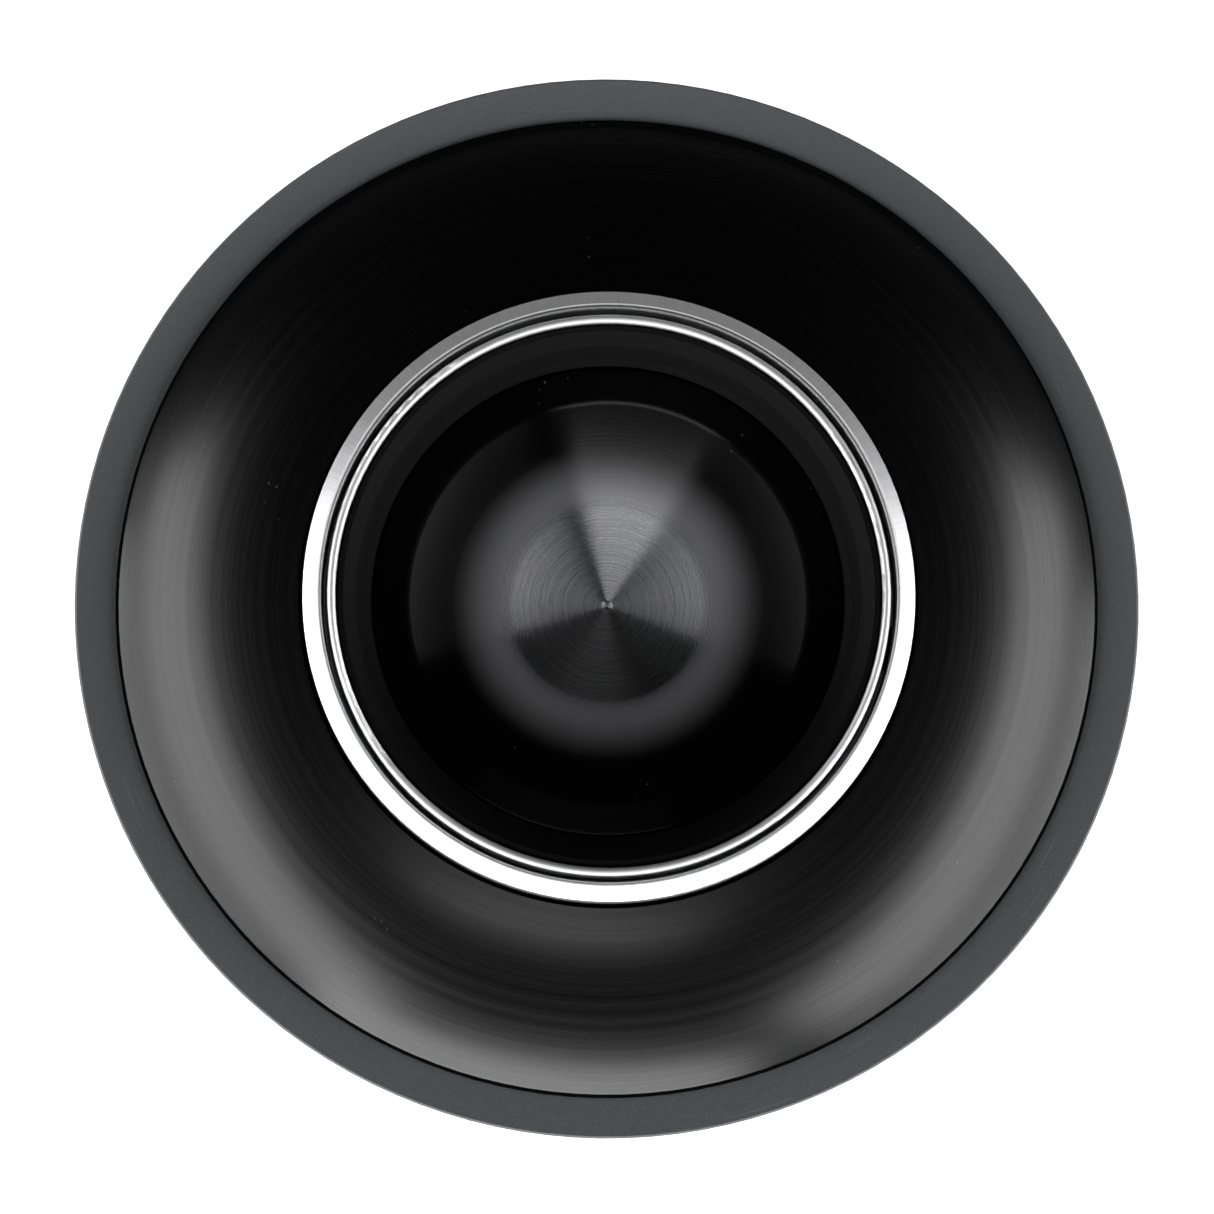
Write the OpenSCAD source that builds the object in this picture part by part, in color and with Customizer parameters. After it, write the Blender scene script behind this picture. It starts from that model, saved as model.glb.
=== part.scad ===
// Kitchen garbage disposal, standing on its bottom cover.
// Millimetres. +Z up, the motor axis is the Z axis, the origin is the mouth of the
// wrench hole in the bottom cover. The discharge and the dishwasher inlet face +Y.

/* [Levels, from the floor up] */
// Height of the bottom cover's plate above the floor
cover_lift = 4; // [3.4:0.1:8]
// Thickness of the bottom cover's plate
cover_t = 3; // [2:0.1:5]
// Height of the wiring bay between the cover and the lower end frame
bay_h = 37; // [36:0.5:60]
// Thickness of the end frames
frame_t = 10; // [8:0.5:14]
// Distance between the two end frames
motor_h = 78; // [65:0.5:120]
// Depth of the drain chamber
drain_h = 44; // [42:0.5:70]
// Height of the straight wall of the grinding chamber
chamber_h = 60; // [50:0.5:100]
// Height of the grinding chamber's cone
cone_h = 22; // [16:0.5:40]
// Height of the neck
neck_h = 50; // [46:0.5:80]

/* [Grinding chamber] */
// Inside radius of the grinding chamber
chamber_r = 70; // [66:0.5:96]
// Wall of the chamber and of its neck
chamber_wall = 1.6; // [1.2:0.1:2.2]
// Width of the flange that bolts the chamber down
flange_w = 12.4; // [11:0.2:18]
// Thickness of that flange
flange_t = 3; // [2:0.1:5]
// Thickness of the gasket under the flange
gasket_t = 1.2; // [0.8:0.1:2]
// Inside radius of the neck
neck_r = 53.4; // [50:0.1:64]

/* [Lock ring] */
// Gap between the neck and the lock ring
lock_gap = 1.2; // [1:0.1:2]
// Width of the lock ring's polished crest
crest_w = 1.1; // [0.8:0.1:2]
// How far the lock ring's satin face spreads outward
face_w = 2.5; // [1.8:0.1:5]
// How far the satin face shows above the upper shell
face_h = 3; // [2:0.5:6]
// Depth of the dome's inner edge below the top of the neck
dome_drop = 8.5; // [7:0.5:12]
// Height of the whole lock ring
lock_h = 22; // [20:0.5:28]
// How far the lock ring turns to unlock, as the width of its bayonet slots in degrees
lock_turn = 40; // [20:1:60]

/* [Casing] */
// Wall of the casing shells
shell_wall = 2.5; // [1.8:0.1:4]
// Gap between the chamber's flange and the lower shell
waist_gap = 3.5; // [2.5:0.5:10]
// How far the casing widens above its waist
shoulder_w = 15; // [12:0.5:30]
// Height of the sloping shoulder
shoulder_h = 18; // [12:0.5:30]
// Inward slope of the casing below its rim, from the rim to the shoulder
rim_taper = 5; // [3:0.5:8]
// Width of the band on top of the casing's rim
band_w = 8; // [5:0.2:12]
// Rise of that band from its inner to its outer edge
band_rise = 1.7; // [0.5:0.1:3]
// Depth of the rim below the top of the neck
rim_drop = 26; // [22:0.5:30]
// Radius of the upper shell's domed profile
dome_r = 75; // [50:1:110]
// How far the dome's outer edge stands above the inner edge of the rim band
dome_step = 0.7; // [0:0.1:1.5]

/* [Stopper and splash guard] */
// Radius of the stopper's flange
stopper_r = 46.2; // [42:0.2:48]
// Depth of the stopper's flange below the top of the neck
stopper_drop = 14.6; // [12:0.2:16]
// Width of the stopper's flange
stopper_flange_w = 6.7; // [5:0.1:9]
// Depth of the stopper's bowl
bowl_depth = 6.6; // [4:0.2:8]
// Radius of the turned cone in the middle of the bowl
cone_r = 19; // [12:0.5:26]
// Depth of that cone
cone_depth = 4; // [2:0.1:5]
// Radius of the plug below the flange
plug_r = 40; // [34:0.2:40.4]
// Number of leaves in the splash guard
leaf_count = 8; // [6:1:12]

/* [Turntable and impellers] */
// Thickness of the turntable
turntable_t = 3; // [2:0.1:5]
// Gap between the turntable and the shredder ring
cutting_gap = 0.8; // [0.5:0.1:2]
// Height of the shredder ring
shredder_h = 28; // [24:0.5:40]
// Wall of the shredder ring
shredder_wall = 2.7; // [2:0.1:4]
// Number of cutting notches in the shredder ring
notch_count = 20; // [12:1:30]
// Distance of the impeller pivots from the axis
pivot_r = 38; // [34:0.5:44]
// Radius of an impeller pivot
pivot_pin_r = 4; // [3:0.1:5]
// Length of an impeller beyond its pivot
impeller_l = 17; // [14:0.2:20]
// Width of an impeller
impeller_w = 16; // [14.4:0.2:18]
// Height of an impeller's striking block
impeller_h = 15; // [10:0.5:20]

/* [Motor] */
// Outside radius of the motor's steel band
band_r = 70; // [68:0.5:82]
// Wall of the motor's steel band
band_wall = 3.8; // [2:0.1:4.5]
// Radius of the rotor
rotor_r = 36; // [32:0.5:37]
// Air gap between the rotor and the stator
air_gap = 0.5; // [0.3:0.1:1]
// Length of the laminated cores
core_h = 44; // [30:0.5:60]
// Radius of the motor shaft
shaft_r = 8; // [7:0.1:9]
// Number of slots in the stator
slot_count = 24; // [16:2:36]

/* [Outlets] */
// Outside radius of the discharge tube
tube_r = 19.05; // [16:0.05:19.5]
// Wall of the discharge tube
tube_wall = 1.6; // [1:0.1:2.2]
// Length of the discharge tube outside its flange
tube_l = 24; // [19:0.5:80]
// Distance of the discharge bolts from the tube's axis
bolt_x = 31; // [30:0.5:34]
// Outside radius of the dishwasher inlet
inlet_r = 11.1; // [9:0.1:12]
// Wall of the dishwasher inlet
inlet_wall = 2.6; // [1.5:0.1:3]
// How far the dishwasher inlet stands out of the casing
inlet_out = 6; // [4:0.5:30]
// Length of the dishwasher inlet that its hose slides on
hose_l = 20; // [12:0.5:25]

/* [Wiring bay] */
// Radius of the start capacitor
capacitor_r = 15; // [12:0.5:15]
// Length of the start capacitor
capacitor_l = 60; // [40:1:64]
// Radius of the reset button
button_r = 4; // [3:0.1:4.4]
// How far the reset button moves when it is pressed
button_travel = 3; // [2:0.1:4]
// Radius of the hole for the supply cable
cable_r = 4.5; // [3:0.1:5]

/* [Hidden] */
$fn = 96;

// Clearances: between bodies that move apart, between fixed pieces, and in a running fit.
move_gap = 0.3;
seat_gap = 0.2;
run_gap = 0.05;
eps = 0.01;

// Levels of the main joints between pieces.
z_bay = cover_lift + cover_t;
z_frame = z_bay + bay_h;
z_motor = z_frame + frame_t;
z_bell = z_motor + motor_h;
z_drain = z_bell + frame_t;
z_chamber = z_drain + drain_h;
z_cone = z_chamber + chamber_h;
z_neck = z_cone + cone_h;
z_top = z_neck + neck_h;

// Chamber and casing radii.
chamber_out = chamber_r + chamber_wall;
flange_r = chamber_out + flange_w;
through_r = band_r + 4.6;
through_ear_r = 7;
waist_r = max(flange_r + waist_gap, through_r + through_ear_r + 1) + shell_wall;
waist_in = waist_r - shell_wall;
rim_r = waist_r + shoulder_w;
band_in = rim_r - band_w;
z_rim = z_top - rim_drop;
neck_out = neck_r + chamber_wall;

// Lock ring.
lock_in = neck_out + lock_gap;
crest_r = lock_in + crest_w;
lock_out = crest_r + face_w;
z_lock_top = z_top - 0.5;
z_lock_edge = z_top - face_h;
z_lock = z_top - lock_h;
snap_wire_r = 1.1;
snap_r = neck_out + 0.6;
z_snap = z_top - 12;
groove_play = 0.4;

// Cushion below the lock ring and the neck flange that carries it.
cushion_h = 7.6;
cushion_w = 8;
z_cushion = z_lock - move_gap - cushion_h;
neck_flange_t = 2;

// Splash guard and its ledge.
guard_r = neck_r - move_gap;
z_ledge = z_top - 32;
ledge_w = 4;
ledge_t = 2;
z_guard = z_ledge + move_gap;
z_stopper = z_top - stopper_drop;
stopper_flange_t = 1.8;
z_seat = z_stopper - stopper_flange_t - move_gap;
guard_seat_r = stopper_r + move_gap;
guard_in = plug_r + 1;
leaf_t = 2;
leaf_hole_r = 9;
slit_w = 1;

// Stopper.
bowl_r = stopper_r - stopper_flange_w;
z_cone_rim = z_stopper - bowl_depth;
z_cone_tip = z_cone_rim - cone_depth;
plug_h = bowl_depth + cone_depth + 3.5;
z_plug = z_stopper - plug_h;
seal_wire_r = 1.3;
seal_r = guard_in - 0.1 - seal_wire_r;
z_seal = z_seat - 3.2;
dimple_r = 1.2;
// Centre height of the sphere through the bowl's edge and the turned cone's edge.
bowl_centre = (bowl_r * bowl_r - cone_r * cone_r) / (2 * bowl_depth) + (z_stopper + z_cone_rim) / 2;
bowl_sphere_r = norm([cone_r, bowl_centre - z_cone_rim]);

// Turntable stack on the shaft.
z_tower = z_chamber - 10;
tower_r = 22;
slinger_t = 1.9;
z_slinger = z_tower + 0.4;
z_hub = z_slinger + slinger_t;
hub_r = 14;
z_table = z_chamber + 4;
z_table_top = z_table + turntable_t;
shredder_in = chamber_r - 0.1 - shredder_wall;
table_r = shredder_in - cutting_gap;
nut_h = 9;
nut_af = 19;
thread_r = shaft_r - 2;
lug_t = 3;
rivet_head_r = pivot_pin_r + 3;
rivet_head_t = 2.2;

// Drain chamber and discharge.
drain_in = chamber_r + 2;
drain_out = drain_in + 6;
drain_lip = chamber_r - 2;
drain_flange_t = 5;
drain_port_r = tube_r + 3;
z_port = z_chamber - drain_port_r - 1;
port_bore = tube_r - tube_wall;
y_port = waist_r + 1;
discharge_gasket_t = 2;
lip_t = 1.6;
lip_w = 2.4;
plate_t = 3;
ear_t = 7;
ear_r = 8;
bolt_r = 2.9;
y_lip = y_port + discharge_gasket_t;
y_plate = y_lip + lip_t + seat_gap;
port_hole_r = drain_port_r + 2;

// Dishwasher inlet and the casing levels that clear it.
inlet_clear = 5;
inlet_flange_r = inlet_r + 4;
z_inlet = z_cone - inlet_r - 3;
z_shoulder_top = z_inlet - inlet_r - inlet_clear - 5;
z_shoulder = z_shoulder_top - shoulder_h;
y_inlet = rim_r + inlet_out;
foot_r = rim_r - rim_taper;
lap_h = 5;

// Motor.
core_r = band_r - band_wall - 0.2;
stator_in = rotor_r + air_gap;
z_core = z_motor + (motor_h - core_h) / 2;
winding_h = (motor_h - core_h) / 2 - 3;
winding_in = stator_in + 4;
winding_out = core_r - 6;
through_bolt_r = 2.4;
bearing_wall = 6;
lower_boss_h = 8;
lower_boss_r = 20;
seal_h = 8;
seal_out = shaft_r + 6;
z_shaft = z_bay + 3;
wrench_af = 6.35;
wrench_r = 6;
boss_wall = 7;

// Governor below the lower bearing.
governor_h = 8;
z_governor = z_frame - lower_boss_h - 2 - governor_h;
governor_r = 19;
collar_h = 5;
z_collar = z_governor - collar_h - 1;

// Wiring bay furniture.
leg_r = 6;
leg_circle = band_r - leg_r - 2;
leg_angles = [30, 150, 270];
capacitor_y = lower_boss_r + 3 + capacitor_r;
z_capacitor = z_bay + capacitor_r + 2;
clip_t = 1.2;
clip_w = 12;
overload_size = [28, 24, 26];
overload_at = [-48, -22];
button_cavity_r = button_r + 2.2;
button_cavity_h = 15;
button_floor_t = 2;
z_button_floor = z_bay + seat_gap + button_floor_t;
button_head_t = 2;
spring_turns = 5;
spring_wire_r = 0.45;
spring_r = button_r + 0.6;
block_size = [26, 18, 12];
block_at = [46, -30];
bushing_r = cable_r + 2.3;
bushing_flange_r = bushing_r + 2.5;
bushing_flange_t = 3;
z_bushing = z_bay + 19;

// A plain tube about the Z axis.
module ring(r_in, r_out, z0, z1) {
    translate([0, 0, z0])
        difference() {
            cylinder(h = z1 - z0, r = r_out);
            translate([0, 0, -1])
                cylinder(h = z1 - z0 + 2, r = r_in);
        }
}

// A cylinder that starts at y0 and runs along +Y.
module along_y(r, y0, y1, x = 0, z = 0) {
    translate([x, y0, z])
        rotate([-90, 0, 0])
            cylinder(h = y1 - y0, r = r);
}

// A cylinder that starts at x0 and runs along +X.
module along_x(r, x0, x1, y = 0, z = 0) {
    translate([x0, y, z])
        rotate([0, 90, 0])
            cylinder(h = x1 - x0, r = r);
}

// Copies of the children at n even angles and a given radius.
module around(n, r, start = 0) {
    for (i = [0 : n - 1])
        rotate([0, 0, start + i * 360 / n])
            translate([r, 0, 0])
                children();
}

// A slotted screw, head up, with the underside of its head at the origin.
module screw(shank_r, shank_l, head_r, head_t, slot = true) {
    difference() {
        union() {
            translate([0, 0, -shank_l])
                cylinder(h = shank_l + eps, r = shank_r);
            cylinder(h = head_t, r = head_r);
        }
        if (slot)
            translate([-head_r - 1, -head_r * 0.12, head_t * 0.55])
                cube([2 * head_r + 2, head_r * 0.24, head_t]);
    }
}

// The outline shared by the discharge port, its gasket and its clamping flange.
module discharge_outline(round_r) {
    circle(r = round_r);
    translate([-bolt_x, -ear_r])
        square([2 * bolt_x, 2 * ear_r]);
    for (side = [-1, 1])
        translate([side * bolt_x, 0])
            circle(r = ear_r);
}

// A plate of that outline between two values of y.
module discharge_plate(round_r, y0, y1, hole_r, screw_r) {
    difference() {
        translate([0, y1, z_port])
            rotate([90, 0, 0])
                linear_extrude(y1 - y0)
                    discharge_outline(round_r);
        along_y(hole_r, y0 - 1, y1 + 1, z = z_port);
        for (side = [-1, 1])
            along_y(screw_r, y0 - 1, y1 + 1, x = side * bolt_x, z = z_port);
    }
}

// Black stopper with a turned, dished face.
module stopper() {
    color([0.05, 0.05, 0.06])
        difference() {
            union() {
                translate([0, 0, z_stopper - stopper_flange_t])
                    cylinder(h = stopper_flange_t, r = stopper_r);
                translate([0, 0, z_plug])
                    cylinder(h = plug_h - eps, r = plug_r);
            }
            translate([0, 0, bowl_centre])
                sphere(r = bowl_sphere_r);
            translate([0, 0, z_cone_tip])
                cylinder(h = cone_depth, r1 = eps, r2 = cone_r);
            translate([0, 0, z_cone_rim - eps])
                cylinder(h = bowl_depth, r = cone_r);
            translate([0, 0, z_cone_tip - dimple_r])
                cylinder(h = 2 * dimple_r, r1 = eps, r2 = 2 * dimple_r);
            translate([0, 0, z_seal])
                rotate_extrude()
                    translate([seal_r, 0])
                        circle(r = seal_wire_r, $fn = 32);
        }
}

// Rubber ring in the stopper's groove.
module stopper_seal() {
    color([0.08, 0.08, 0.08])
        translate([0, 0, z_seal])
            rotate_extrude()
                translate([seal_r, 0])
                    circle(r = seal_wire_r, $fn = 32);
}

// Rubber splash guard: flared wall, seat for the stopper, and slit leaves below.
module splash_guard() {
    flare_top = z_top - 1.4;
    color([0.04, 0.04, 0.04])
        difference() {
            union() {
                rotate_extrude()
                    polygon([
                        [guard_in, z_guard],
                        [guard_r, z_guard],
                        [guard_r, flare_top - 0.8],
                        [guard_r - 0.4, flare_top],
                        [guard_r - 1.2, flare_top],
                        [guard_r - 3.6, z_top - 6],
                        [guard_seat_r + 1.2, z_stopper + 3],
                        [guard_seat_r, z_stopper + 0.6],
                        [guard_seat_r, z_seat],
                        [guard_in + 1.3, z_seat],
                        [guard_in, z_seat - 1.3],
                    ]);
                ring(leaf_hole_r, guard_in + 4, z_guard - leaf_t, z_guard + 0.7);
            }
            translate([0, 0, z_guard])
                cylinder(h = 2, r = guard_in - 3);
            for (i = [0 : leaf_count - 1])
                rotate([0, 0, (i + 0.5) * 360 / leaf_count])
                    translate([leaf_hole_r - 1, -slit_w / 2, z_guard - leaf_t - 1])
                        cube([guard_in - leaf_hole_r - 3, slit_w, leaf_t + 4]);
        }
}

// Satin aluminium lock ring with a polished crest and bayonet slots inside its skirt.
module lock_ring() {
    slot_depth = 1.8;
    slot_h = 7;
    color([0.75, 0.75, 0.77])
        difference() {
            rotate_extrude()
                polygon([
                    [lock_in, z_lock],
                    [lock_out, z_lock],
                    [lock_out, z_lock_edge],
                    [crest_r, z_lock_top - 0.5],
                    [crest_r - 0.35, z_lock_top - 0.1],
                    [crest_r - 0.6, z_lock_top],
                    [lock_in + 0.3, z_lock_top],
                    [lock_in, z_lock_top - 0.4],
                    [lock_in, z_snap + snap_wire_r + groove_play],
                    [lock_in + 0.9, z_snap + snap_wire_r + groove_play],
                    [lock_in + 0.9, z_snap - snap_wire_r - groove_play],
                    [lock_in, z_snap - snap_wire_r - groove_play],
                ]);
            for (i = [0 : 2])
                rotate([0, 0, i * 120])
                    translate([0, 0, z_lock - 1])
                        rotate_extrude(angle = lock_turn)
                            translate([lock_in - 1, 0])
                                square([slot_depth + 1, slot_h + 1]);
        }
}

// Split spring wire that keeps the lock ring on the neck.
module snap_ring() {
    split_angle = 9;
    color([0.6, 0.6, 0.62])
        translate([0, 0, z_snap])
            rotate([0, 0, split_angle / 2])
                rotate_extrude(angle = 360 - split_angle)
                    translate([snap_r, 0])
                        circle(r = snap_wire_r, $fn = 24);
}

// Rubber cushion between the neck flange and the lock ring.
module mount_cushion() {
    color([0.1, 0.1, 0.1])
        difference() {
            ring(neck_out + seat_gap, neck_out + cushion_w, z_cushion, z_cushion + cushion_h);
            translate([0, 0, z_cushion + cushion_h / 2])
                rotate_extrude()
                    translate([neck_out + cushion_w, 0])
                        circle(r = 1.5, $fn = 24);
        }
}

// Centre of a circle of radius r through two points, on the side below the chord.
function arc_centre(p, q, r) =
    let (
        d = q - p,
        half = norm(d) / 2,
        away = sqrt(r * r - half * half),
        n = [-d[1], d[0]] / norm(d),
        side = n[1] < 0 ? 1 : -1
    )
    (p + q) / 2 + n * side * away;

// Glossy domed upper shell, held under the lower shell's rim by a foot.
module upper_shell() {
    dome_in = lock_out + 1;
    dome_out = band_in - seat_gap;
    z_high = z_top - dome_drop;
    z_low = z_rim + dome_step;
    foot_t = 2.8;
    z_foot = z_rim - 4 - seat_gap - foot_t;
    centre = arc_centre([dome_in, z_high], [dome_out, z_low], dome_r);
    color([0.02, 0.02, 0.02])
        rotate_extrude() {
            intersection() {
                translate(centre)
                    difference() {
                        circle(r = dome_r, $fn = 180);
                        circle(r = dome_r - shell_wall, $fn = 180);
                    }
                translate([dome_in, z_low])
                    square([dome_out - dome_in, z_high - z_low + dome_r]);
            }
            translate([dome_out - shell_wall - 1.4, z_foot])
                square([shell_wall + 1.4, z_low - z_foot + 0.4]);
            translate([dome_out - 1, z_foot])
                square([5, foot_t]);
        }
}

// Lower shell: a plain sleeve round the motor, open where the drain port and the cable pass.
module lower_shell() {
    z_low = 3;
    edge = 0.8;
    color([0.16, 0.17, 0.18])
        difference() {
            rotate_extrude()
                polygon([
                    [waist_in, z_low],
                    [waist_r - edge, z_low],
                    [waist_r, z_low + edge],
                    [waist_r, z_shoulder],
                    [waist_in, z_shoulder],
                ]);
            along_y(port_hole_r, 0, waist_r + 20, z = z_port);
            for (side = [-1, 1])
                along_y(ear_r + 2, 0, waist_r + 20, x = side * bolt_x, z = z_port);
            translate([-bolt_x, 0, z_port - ear_r - 2])
                cube([2 * bolt_x, waist_r + 20, 2 * ear_r + 4]);
            along_x(bushing_r + seat_gap, 0, waist_r + 20, z = z_bushing);
        }
}

// Rim shell: it laps inside the lower shell, widens at the shoulder and ends in the matte band.
module rim_shell() {
    inner_slope = shell_wall * 0.35;
    edge = 0.4;
    lap_out = waist_in - seat_gap;
    lap_t = 1.6;
    color([0.16, 0.17, 0.18])
        difference() {
            rotate_extrude()
                polygon([
                    [lap_out - lap_t, z_shoulder - lap_h],
                    [lap_out, z_shoulder - lap_h],
                    [lap_out, z_shoulder],
                    [waist_r, z_shoulder],
                    [foot_r, z_shoulder_top],
                    [rim_r, z_rim + band_rise - edge],
                    [rim_r - edge, z_rim + band_rise],
                    [band_in, z_rim],
                    [band_in, z_rim - 4],
                    [rim_r - shell_wall, z_rim - 4],
                    [foot_r - shell_wall, z_shoulder_top + inner_slope],
                    [lap_out - lap_t, z_shoulder + inner_slope],
                ]);
            along_y(inlet_r + inlet_clear, 0, rim_r + 20, z = z_inlet);
        }
}

// Foam jacket between the chamber and the casing.
module sound_jacket() {
    z0 = z_shoulder_top + 4;
    z1 = z_rim - 12;
    color([0.3, 0.3, 0.32])
        difference() {
            ring(chamber_out + 1, foot_r - shell_wall - 1, z0, z1);
            along_y(inlet_flange_r + 1, 0, rim_r + 20, z = z_inlet);
        }
}

// Stainless grinding chamber, from its bolted flange to the rolled lip of its neck.
module grind_chamber() {
    z0 = z_chamber + gasket_t;
    z_flange = z_cushion - seat_gap - neck_flange_t;
    lip = chamber_wall / 2;
    color([0.78, 0.79, 0.8])
        difference() {
            rotate_extrude() {
                polygon([
                    [chamber_r, z0],
                    [flange_r, z0],
                    [flange_r, z0 + flange_t],
                    [chamber_out, z0 + flange_t],
                    [chamber_out, z_cone],
                    [neck_out, z_neck],
                    [neck_out, z_top - lip],
                    [neck_r, z_top - lip],
                    [neck_r, z_ledge],
                    [neck_r - ledge_w, z_ledge],
                    [neck_r - ledge_w, z_ledge - ledge_t],
                    [neck_r, z_ledge - ledge_t],
                    [neck_r, z_neck],
                    [chamber_r, z_cone],
                ]);
                translate([neck_r + lip, z_top - lip])
                    circle(r = lip, $fn = 32);
                translate([neck_out - chamber_wall / 2, z_flange])
                    square([cushion_w + chamber_wall / 2, neck_flange_t]);
            }
            ring(neck_out - 0.6, neck_out + 1, z_snap - snap_wire_r, z_snap + snap_wire_r);
            along_y(inlet_r + 0.1, 0, rim_r, z = z_inlet);
            around(6, chamber_out + flange_w / 2)
                translate([0, 0, z0 - 1])
                    cylinder(h = flange_t + 2, r = 2.6, $fn = 32);
        }
}

// Gasket under the chamber's flange.
module chamber_gasket() {
    color([0.12, 0.12, 0.12])
        difference() {
            ring(drain_in + 0.5, flange_r, z_chamber, z_chamber + gasket_t);
            around(6, chamber_out + flange_w / 2)
                translate([0, 0, z_chamber - 1])
                    cylinder(h = gasket_t + 2, r = 2.6, $fn = 32);
        }
}

// Six screws that hold the chamber down on the drain chamber.
module chamber_screws() {
    color([0.7, 0.7, 0.72])
        around(6, chamber_out + flange_w / 2)
            translate([0, 0, z_chamber + gasket_t + flange_t])
                screw(2.4, gasket_t + flange_t + drain_flange_t - 0.5, 4.4, 3);
}

// Plastic dishwasher inlet with its flange on the chamber's wall and a thicker hose spigot.
module dishwasher_inlet() {
    neck_step = 0.6;
    color([0.08, 0.08, 0.09])
        difference() {
            union() {
                along_y(inlet_r - neck_step, chamber_r, y_inlet, z = z_inlet);
                along_y(inlet_r, y_inlet - hose_l, y_inlet, z = z_inlet);
                along_y(inlet_flange_r, chamber_out + 0.8, chamber_out + 4, z = z_inlet);
            }
            along_y(inlet_r - inlet_wall, chamber_r - 2, y_inlet + 1, z = z_inlet);
            cylinder(h = z_top, r = chamber_r);
        }
}

// Thin disc that closes the inlet until a dishwasher is connected.
module inlet_knockout() {
    color([0.08, 0.08, 0.09])
        along_y(inlet_r - inlet_wall, chamber_out + 4, chamber_out + 5.5, z = z_inlet);
}

// Stationary shredder ring with cutting notches at its lower edge.
module shredder_ring() {
    notch_w = 6;
    notch_h = 10;
    color([0.6, 0.6, 0.6])
        difference() {
            ring(shredder_in, shredder_in + shredder_wall, z_chamber, z_chamber + shredder_h);
            around(notch_count, shredder_in)
                translate([-1, -notch_w / 2, z_table_top - 0.5])
                    cube([shredder_wall + 2, notch_w, notch_h]);
        }
}

// Turntable: a flat plate on a hub, with drain holes and pivot holes.
module turntable() {
    color([0.66, 0.66, 0.68])
        difference() {
            union() {
                translate([0, 0, z_table])
                    cylinder(h = turntable_t, r = table_r);
                translate([0, 0, z_hub])
                    cylinder(h = z_table_top - z_hub, r = hub_r);
            }
            translate([0, 0, z_hub - 1])
                cylinder(h = 40, r = thread_r);
            translate([0, 0, z_hub - 1])
                cylinder(h = z_table - z_hub + 1, r = shaft_r);
            around(24, table_r - 6)
                translate([0, 0, z_table - 1])
                    cylinder(h = turntable_t + 2, r = 2.4, $fn = 24);
            around(2, pivot_r)
                translate([0, 0, z_table - 1])
                    cylinder(h = turntable_t + 2, r = pivot_pin_r);
        }
}

// One swivel impeller in place beside its pivot: a lug with a raised striking block.
module impeller() {
    block_l = impeller_l - rivet_head_r - 1.5;
    color([0.72, 0.72, 0.74])
        translate([pivot_r, 0, z_table_top + move_gap])
            difference() {
                union() {
                    cylinder(h = lug_t, r = impeller_w / 2);
                    translate([0, -impeller_w / 2, 0])
                        cube([impeller_l - 3, impeller_w, lug_t]);
                    intersection() {
                        translate([impeller_l - block_l, -impeller_w / 2, 0])
                            cube([block_l, impeller_w, impeller_h]);
                        cylinder(h = impeller_h, r = impeller_l);
                    }
                }
                translate([0, 0, -1])
                    cylinder(h = lug_t + 2, r = pivot_pin_r + run_gap);
            }
}

// The two impellers stand on opposite sides of the turntable.
module impeller_right() {
    impeller();
}

module impeller_left() {
    rotate([0, 0, 180])
        impeller();
}

// Two headed rivets that carry the impellers.
module impeller_rivets() {
    color([0.7, 0.7, 0.72])
        around(2, pivot_r)
            translate([0, 0, z_table]) {
                cylinder(h = turntable_t + lug_t + 2 * move_gap + eps, r = pivot_pin_r);
                translate([0, 0, turntable_t + lug_t + 2 * move_gap])
                    cylinder(h = rivet_head_t, r = rivet_head_r);
            }
}

// Hexagon nut that holds the turntable on the shaft.
module turntable_nut() {
    color([0.8, 0.8, 0.82])
        translate([0, 0, z_table_top])
            difference() {
                intersection() {
                    cylinder(h = nut_h, r = nut_af / sqrt(3), $fn = 6);
                    cylinder(h = nut_h, r1 = nut_af / 2 + 3, r2 = nut_af / 2 + 0.5);
                }
                translate([0, 0, -1])
                    cylinder(h = nut_h + 2, r = thread_r);
            }
}

// Water slinger on the shaft above the seal.
module slinger() {
    color([0.1, 0.1, 0.1])
        ring(shaft_r, tower_r - 2, z_slinger, z_slinger + slinger_t);
}

// Lip seal in the top of the drain chamber's tower.
module shaft_seal() {
    color([0.1, 0.1, 0.1])
        ring(shaft_r + run_gap, seal_out, z_tower - seal_h, z_tower);
}

// Upper end bell: the motor's top cover, which carries the upper bearing and the shaft seal.
module end_bell() {
    bearing_out = shaft_r + run_gap + bearing_wall;
    z_pocket = z_bell + frame_t + 2;
    ear_step = 1;
    spigot_r = drain_in - seat_gap;
    spigot_w = 2;
    spigot_h = 2;
    color([0.55, 0.56, 0.58])
        difference() {
            union() {
                rotate_extrude()
                    polygon([
                        [bearing_out, z_bell],
                        [drain_out, z_bell],
                        [drain_out, z_drain],
                        [spigot_r, z_drain],
                        [spigot_r, z_drain + spigot_h],
                        [spigot_r - spigot_w, z_drain + spigot_h],
                        [spigot_r - spigot_w, z_drain],
                        [tower_r, z_drain],
                        [tower_r, z_tower],
                        [seal_out, z_tower],
                        [seal_out, z_tower - seal_h],
                        [shaft_r + 1, z_tower - seal_h],
                        [shaft_r + 1, z_pocket],
                        [bearing_out, z_pocket],
                    ]);
                around(4, through_r, start = 45)
                    translate([0, 0, z_bell])
                        cylinder(h = frame_t - ear_step, r = through_ear_r, $fn = 48);
            }
            around(4, through_r, start = 45)
                translate([0, 0, z_bell - 1])
                    cylinder(h = frame_t, r = through_bolt_r, $fn = 32);
        }
}

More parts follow.
